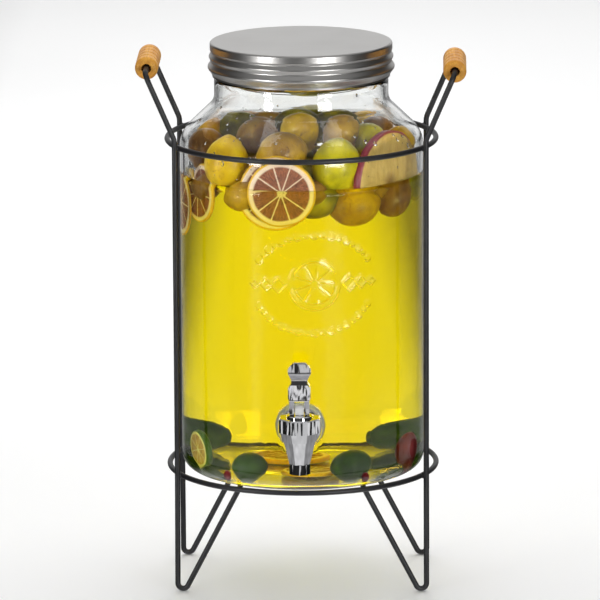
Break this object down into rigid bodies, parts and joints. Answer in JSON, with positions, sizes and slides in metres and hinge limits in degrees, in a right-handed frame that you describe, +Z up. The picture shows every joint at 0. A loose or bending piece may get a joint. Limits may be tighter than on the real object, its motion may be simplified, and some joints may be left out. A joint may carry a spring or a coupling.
{
  "type": "beverage dispenser",
  "caption": "Round glass drinks jar with a screw lid and a front tap, held in a bent wire stand with wooden carrying grips.",
  "frame": {"origin": "on the floor under the middle of the stand, between its four feet", "axes": "+Z up, -Y towards the tap at the front, +X to the right seen from the front"},
  "size_m": [0.2574, 0.2404, 0.4276],
  "materials": {
    "black_powder_coat": "satin",
    "beech_wood": "satin",
    "clear_glass": "gloss",
    "lid_steel": "brushed",
    "liner_plastic": "matte",
    "chrome_plastic": "polished",
    "clear_silicone": "matte",
    "spring_steel": "satin",
    "white_plastic": "gloss"
  },
  "bodies": {
    "stand": {"left_side_wire": "black_powder_coat", "right_side_wire": "black_powder_coat", "upper_ring": "black_powder_coat", "lower_ring": "black_powder_coat", "ring_welds": "black_powder_coat"},
    "left_grip": {"left_grip": "beech_wood"},
    "right_grip": {"right_grip": "beech_wood"},
    "jar": {"jar_glass": "clear_glass", "tap_body": "chrome_plastic", "tap_bonnet": "chrome_plastic", "bonnet_seal": "clear_silicone", "outer_washer": "clear_silicone", "inner_washer": "clear_silicone", "slip_washer": "white_plastic", "lock_nut": "white_plastic"},
    "lid_liner": {"lid_liner": "liner_plastic"},
    "lid": {"screw_lid": "lid_steel"},
    "stem": {"valve_stem": "white_plastic", "valve_plug": "clear_silicone", "stem_spring": "spring_steel", "lever_pin": "spring_steel"},
    "lever": {"tap_lever": "chrome_plastic"}
  },
  "joints": [
    {"name": "jar_lift", "type": "slide", "parent": "stand", "child": "jar", "axis": [0, 0, 1], "range_m": [0, 0.14]},
    {"name": "left_grip_turn", "type": "hinge", "parent": "stand", "child": "left_grip", "pos_m": [-0.1197, 0, 0.41], "axis": [0, 1, 0], "continuous": true},
    {"name": "right_grip_turn", "type": "hinge", "parent": "stand", "child": "right_grip", "pos_m": [0.1197, 0, 0.41], "axis": [0, 1, 0], "continuous": true},
    {"name": "lid_rise", "type": "slide", "parent": "jar", "child": "lid_liner", "axis": [0, 0, 1], "range_m": [0, 0.0257]},
    {"name": "lid_turn", "type": "hinge", "parent": "lid_liner", "child": "lid", "pos_m": [0, 0, 0.42], "axis": [0, 0, 1], "range_deg": [0, 1440]},
    {"name": "stem_lift", "type": "slide", "parent": "jar", "child": "stem", "axis": [0, 0, 1], "range_m": [0, 0.0032], "stiffness_N_per_m": 600, "springref_m": -0.005, "deforming": ["stem_spring"]},
    {"name": "lever_tilt", "type": "hinge", "parent": "stem", "child": "lever", "pos_m": [0, -0.1176, 0.1598], "axis": [1, 0, 0], "range_deg": [0, 40.1]}
  ],
  "couplings": [
    {"joint": "lid_rise", "follows": "lid_turn", "m_per_rad": 0.0010186},
    {"joint": "lever_tilt", "follows": "stem_lift", "rad_per_m": 218.17}
  ]
}
